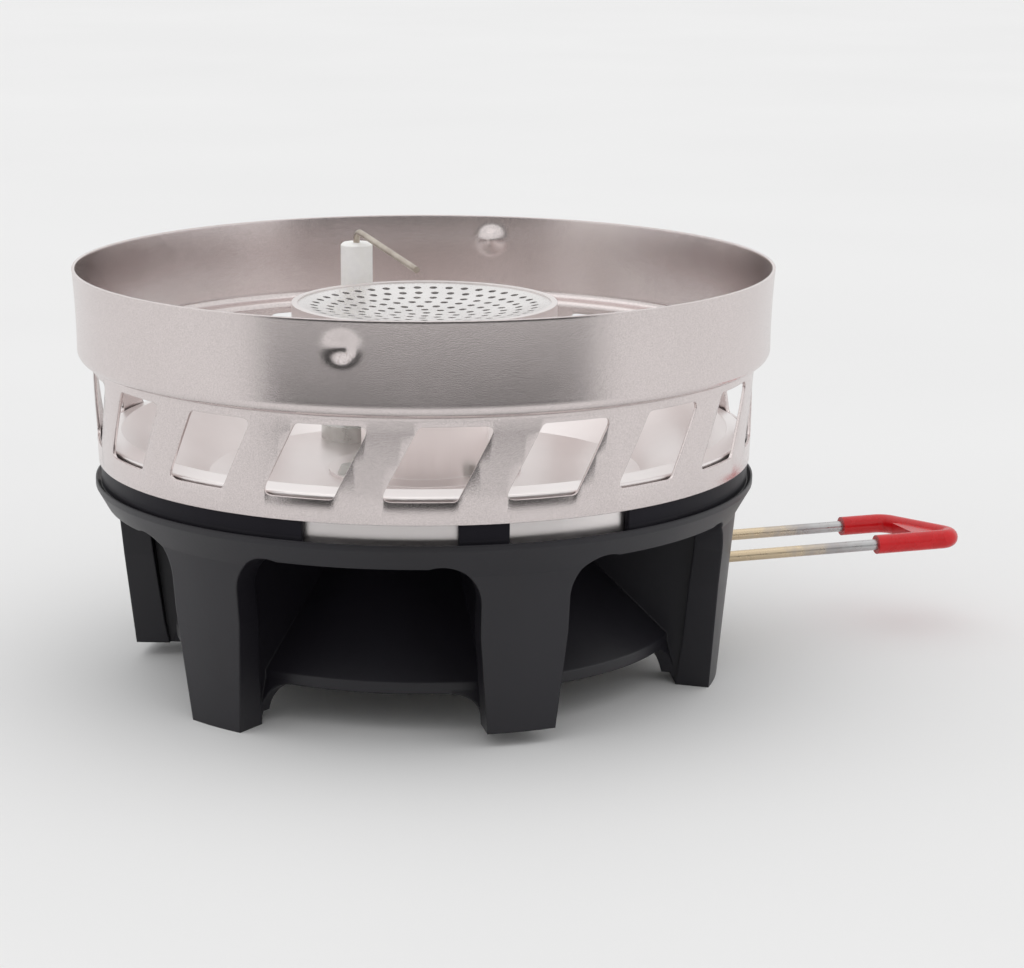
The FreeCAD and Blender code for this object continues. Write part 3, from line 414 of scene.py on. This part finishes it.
def ring_profile():
    """Outer face of the pressed sheet as (radius, height), from the skirt's foot to the rim."""
    line = list(SKIRT)
    radius, height = BEND_START
    for step in range(BEND_STEPS + 1):
        turn = math.radians(90 * step / BEND_STEPS)
        out = BEND_RADIUS * (1 - math.cos(turn))
        up = BEND_RADIUS * math.sin(turn)
        line.append((radius + out, height + up))
    radius, height = CURL_START
    for step in range(1, CURL_STEPS + 1):
        turn = math.radians(90 * step / CURL_STEPS)
        out = CURL_RADIUS * math.sin(turn)
        up = CURL_RADIUS * (1 - math.cos(turn))
        line.append((radius + out, height + up))
    start = line[-1][1]
    for step in range(1, COLLAR_ROWS + 1):
        height = start + (RIM_Z - start) * step / COLLAR_ROWS
        share = (height - COLLAR_Z) / (RIM_Z - COLLAR_Z)
        waist = 4 * COLLAR_WAIST * share * (1 - share)
        line.append((COLLAR_RADIUS + (RIM_RADIUS - COLLAR_RADIUS) * share - waist, height))
    return line


def dimple_push(angle, height):
    """How far the sheet is pressed inward at this place on the collar."""
    push = 0.0
    for centre in DIMPLE_ANGLES:
        across = math.radians((angle - centre + 180) % 360 - 180) * COLLAR_RADIUS
        away = math.hypot(across, height - DIMPLE_Z) / DIMPLE_RADIUS
        if away < 1:
            push += DIMPLE_DEPTH * 0.5 * (1 + math.cos(math.pi * away))
    return push


def sheet_offset(line, index):
    """Step from the outer face to the inner one, at one point of the line."""
    before = line[max(index - 1, 0)]
    after = line[min(index + 1, len(line) - 1)]
    run = Vector((after[0] - before[0], after[1] - before[1])).normalized()
    return Vector((-run.y, run.x)) * SHEET


def ring_shell():
    """The whole ring before its windows, with the dimples pressed in."""
    line = ring_profile()
    inner = [Vector(point) + sheet_offset(line, index) for index, point in enumerate(line)]
    loop = [Vector(point) for point in line] + inner[::-1]
    shell = bmesh.new()
    columns = []
    for step in range(RING_STEPS):
        angle = 360.0 * step / RING_STEPS
        outward = Vector((math.cos(math.radians(angle)), math.sin(math.radians(angle)), 0))
        column = []
        for radius, height in loop:
            reach = radius - dimple_push(angle, height)
            column.append(shell.verts.new((outward * reach + Vector((0, 0, height))) * MM))
        columns.append(column)
    for step in range(RING_STEPS):
        here = columns[step]
        there = columns[(step + 1) % RING_STEPS]
        for index in range(len(loop)):
            following = (index + 1) % len(loop)
            shell.faces.new((here[index], there[index], there[following], here[following]))
    return finished_mesh(shell, "wind_ring_pressed")


def window_corners():
    """Outline of one leaning window with rounded corners, as (across, up)."""
    low, high = WINDOW_SPAN
    corners = [
        Vector((-WINDOW_HALF - WINDOW_LEAN, low)),
        Vector((WINDOW_HALF - WINDOW_LEAN, low)),
        Vector((WINDOW_HALF + WINDOW_LEAN, high)),
        Vector((-WINDOW_HALF + WINDOW_LEAN, high)),
    ]
    outline = []
    for index, corner in enumerate(corners):
        before = (corners[index - 1] - corner).normalized()
        after = (corners[(index + 1) % len(corners)] - corner).normalized()
        reach = WINDOW_CORNER / math.tan(before.angle(after) / 2)
        first = corner + before * reach
        last = corner + after * reach
        for step in range(CORNER_STEPS + 1):
            share = step / CORNER_STEPS
            near = first.lerp(corner, share)
            far = corner.lerp(last, share)
            outline.append(near.lerp(far, share))
    return outline


def window_cutter():
    """Prisms that cut every window, each pointing outward from the axis."""
    cutter = bmesh.new()
    outline = window_corners()
    for window in range(WINDOWS):
        turn = Matrix.Rotation(math.radians(WINDOW_PHASE + window * 360 / WINDOWS), 3, "Z")
        rings = []
        for reach in CUTTER_REACH:
            corners = [turn @ Vector((across, -reach, up)) for across, up in outline]
            rings.append([cutter.verts.new(corner * MM) for corner in corners])
        near, far = rings
        cutter.faces.new(near)
        cutter.faces.new(far[::-1])
        for index in range(len(outline)):
            following = (index + 1) % len(outline)
            cutter.faces.new((near[index], far[index], far[following], near[following]))
    return finished_mesh(cutter, "window_cutter")


def add_wind_ring():
    """Pressed ring with smooth dimples and softly broken cut edges."""
    ring = ring_shell()
    cutter = window_cutter()
    opening = ring.modifiers.new("windows", "BOOLEAN")
    opening.operation = "DIFFERENCE"
    opening.solver = "EXACT"
    opening.object = cutter
    softened = ring.modifiers.new("broken_edges", "BEVEL")
    softened.width = EDGE_BREAK * MM
    softened.segments = 2
    softened.limit_method = "ANGLE"
    softened.angle_limit = math.radians(BREAK_ABOVE)
    bpy.context.view_layer.update()
    depsgraph = bpy.context.evaluated_depsgraph_get()
    shape = bpy.data.meshes.new_from_object(ring.evaluated_get(depsgraph))
    ring.modifiers.clear()
    ring.data = shape
    bpy.data.objects.remove(cutter)
    shape.shade_smooth()
    shape.set_sharp_from_angle(angle=math.radians(SMOOTH_BELOW))
    shape.materials.clear()
    shape.materials.append(FINISHES["steel_brushed"])
    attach(ring, "base")
    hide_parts("wind_ring")


def add_igniter_spring():
    """Coil behind the igniter's button, made at one length."""
    heading = math.radians(SPRING_ANGLE)
    along = Vector((math.cos(heading), math.sin(heading), 0))
    side = Vector((-along.y, along.x, 0))
    up = Vector((0, 0, 1))
    start = along * SPRING_START + up * SPRING_Z
    coil = bmesh.new()
    rings = []
    for step in range(COIL_STEPS + 1):
        share = step / COIL_STEPS
        turn = 2 * math.pi * COIL_TURNS * share
        outward = side * math.cos(turn) + up * math.sin(turn)
        centre = start + along * SPRING_LENGTH * share + outward * COIL_RADIUS
        ring = []
        for corner in range(WIRE_SIDES):
            bend = 2 * math.pi * corner / WIRE_SIDES
            away = outward * math.cos(bend) + along * math.sin(bend)
            ring.append(coil.verts.new((centre + away * COIL_WIRE) * MM))
        rings.append(ring)
    for this, following in zip(rings, rings[1:]):
        for index in range(WIRE_SIDES):
            beyond = (index + 1) % WIRE_SIDES
            coil.faces.new((this[index], following[index], following[beyond], this[beyond]))
    coil.faces.new(rings[0])
    coil.faces.new(rings[-1][::-1])
    spring = finished_mesh(coil, "igniter_coil")
    spring.data.shade_smooth()
    spring.data.materials.append(FINISHES["steel_wire"])
    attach(spring, "base")
    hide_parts("igniter_spring")
    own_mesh(spring)


# ---------------------------------------------------------------- stage


def add_floor():
    """Wide sheet of pale paper under the feet."""
    bpy.ops.mesh.primitive_plane_add(size=FLOOR_SIZE, location=(0, 0, FLOOR_Z * MM))
    floor = bpy.context.object
    floor.name = "floor"
    f = Finish("floor_paper", Specular_IOR_Level=0.2)
    cloud = f.noise(6, 2)
    tone = f.colours(cloud, (0.3, (0.80, 0.80, 0.80)), (0.7, (0.82, 0.82, 0.82)))
    floor.data.materials.append(f.use(Base_Color=tone, Roughness=f.spread(cloud, 0.8, 0.9)))


def broad_light(name, toward, strength, spread):
    """Even light from a wide patch of sky in this direction."""
    light = bpy.data.lights.new(name, "SUN")
    light.energy = strength
    light.angle = math.radians(spread)
    lamp = bpy.data.objects.new(name, light)
    lamp.rotation_euler = Vector(toward).to_track_quat("Z", "Y").to_euler()
    bpy.context.collection.objects.link(lamp)


def add_flag():
    """Dark card curved round the front of the object, seen only in its reflections."""
    card = bmesh.new()
    ribs = []
    for step in range(FLAG_STEPS + 1):
        angle = math.radians(FLAG_CENTRE + FLAG_SPAN * (step / FLAG_STEPS - 0.5))
        toward = Vector((math.sin(angle), -math.cos(angle), 0))
        section = [toward * reach + Vector((0, 0, up)) for reach, up in FLAG_LINE]
        ribs.append([card.verts.new(corner) for corner in section])
    for this, following in zip(ribs, ribs[1:]):
        for index in range(len(FLAG_LINE) - 1):
            corners = (this[index], following[index], following[index + 1], this[index + 1])
            card.faces.new(corners)
    mesh = bpy.data.meshes.new("flag")
    card.to_mesh(mesh)
    card.free()
    flag = bpy.data.objects.new("flag", mesh)
    bpy.context.collection.objects.link(flag)
    f = Finish("flag_felt")
    rough = f.spread(f.noise(40), 0.8, 1.0)
    mesh.materials.append(f.use(Roughness=rough, Base_Color=(0.02, 0.02, 0.02, 1)))
    flag.visible_camera = False
    flag.visible_diffuse = False
    flag.visible_shadow = False
    flag.visible_transmission = False


def add_lights():
    world = bpy.data.worlds.new("studio")
    bpy.context.scene.world = world
    world.use_nodes = True
    sky = world.node_tree.nodes["Background"]
    sky.inputs["Color"].default_value = (1, 1, 1, 1)
    sky.inputs["Strength"].default_value = SKY_STRENGTH
    broad_light("top_light", TOP_LIGHT_TOWARD, TOP_LIGHT_STRENGTH, TOP_LIGHT_SPREAD)
    add_flag()


def add_camera():
    """Long lens, a little above the rim."""
    azimuth = math.radians(CAMERA_AZIMUTH)
    elevation = math.radians(CAMERA_ELEVATION)
    level = math.cos(elevation)
    back = Vector((math.sin(azimuth) * level, -math.cos(azimuth) * level, math.sin(elevation)))
    data = bpy.data.cameras.new("camera")
    data.lens = CAMERA_LENS
    data.sensor_width = 36.0
    data.clip_start = 0.01
    data.clip_end = 100.0
    camera = bpy.data.objects.new("camera", data)
    camera.location = CAMERA_PLACE
    roll = Matrix.Rotation(math.radians(CAMERA_ROLL), 3, "Z")
    turn = (-back).to_track_quat("-Z", "Y").to_matrix() @ roll
    camera.rotation_euler = turn.to_euler()
    bpy.context.collection.objects.link(camera)
    bpy.context.scene.camera = camera


finish_cad_nodes()
add_wind_ring()
add_igniter_spring()
add_floor()
add_lights()
add_camera()
bpy.context.scene.view_settings.view_transform = "Standard"
